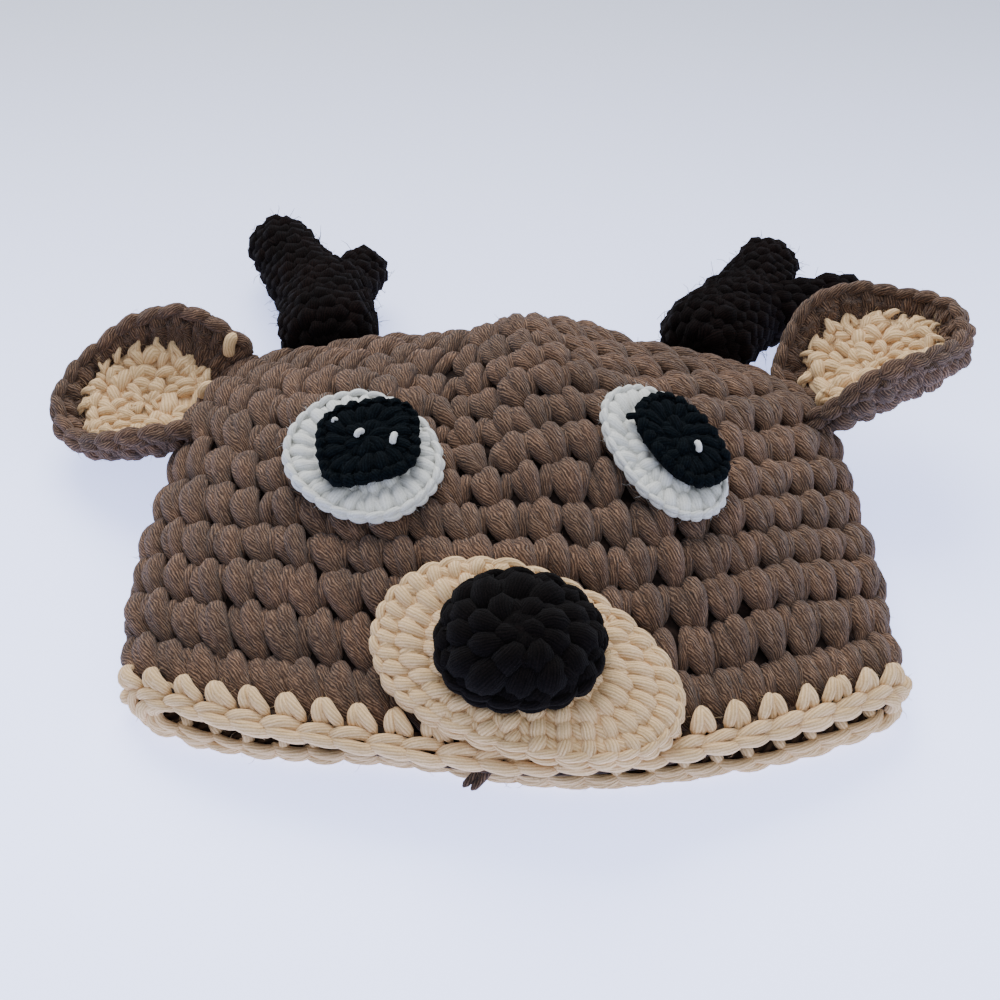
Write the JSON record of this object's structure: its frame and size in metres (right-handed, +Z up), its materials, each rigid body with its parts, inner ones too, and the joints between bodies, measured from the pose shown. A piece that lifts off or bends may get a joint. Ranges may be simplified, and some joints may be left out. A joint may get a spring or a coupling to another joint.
{
  "type": "baby hat with ears",
  "caption": "Crocheted brown baby beanie with deer face patches, two cupped ears and two soft dark antlers, lying flat on its back with the brim open",
  "frame": {"origin": "on the flat back of the crown where the hat rests, near the middle of the back", "axes": "+X along the brim to the viewer's right, +Y from the brim towards the closed end, +Z up out of the face, away from the surface it lies on"},
  "size_m": [0.2435, 0.2174, 0.0523],
  "materials": {
    "brown_yarn": "matte plied cotton yarn",
    "tan_yarn": "matte plied cotton yarn",
    "antler_yarn": "matte, slightly fuzzy yarn",
    "nose_yarn": "matte yarn",
    "white_yarn": "matte yarn",
    "black_yarn": "matte yarn"
  },
  "bodies": {
    "root": {"crown": "brown_yarn", "hem": "tan_yarn", "ear_left_outer": "brown_yarn", "ear_left_inner": "tan_yarn", "ear_right_outer": "brown_yarn", "ear_right_inner": "tan_yarn", "antler_left": "antler_yarn", "antler_right": "antler_yarn", "eye_left_white": "white_yarn", "eye_left_pupil": "black_yarn", "eye_right_white": "white_yarn", "eye_right_pupil": "black_yarn", "muzzle": "tan_yarn", "nose": "nose_yarn"}
  },
  "joints": []
}
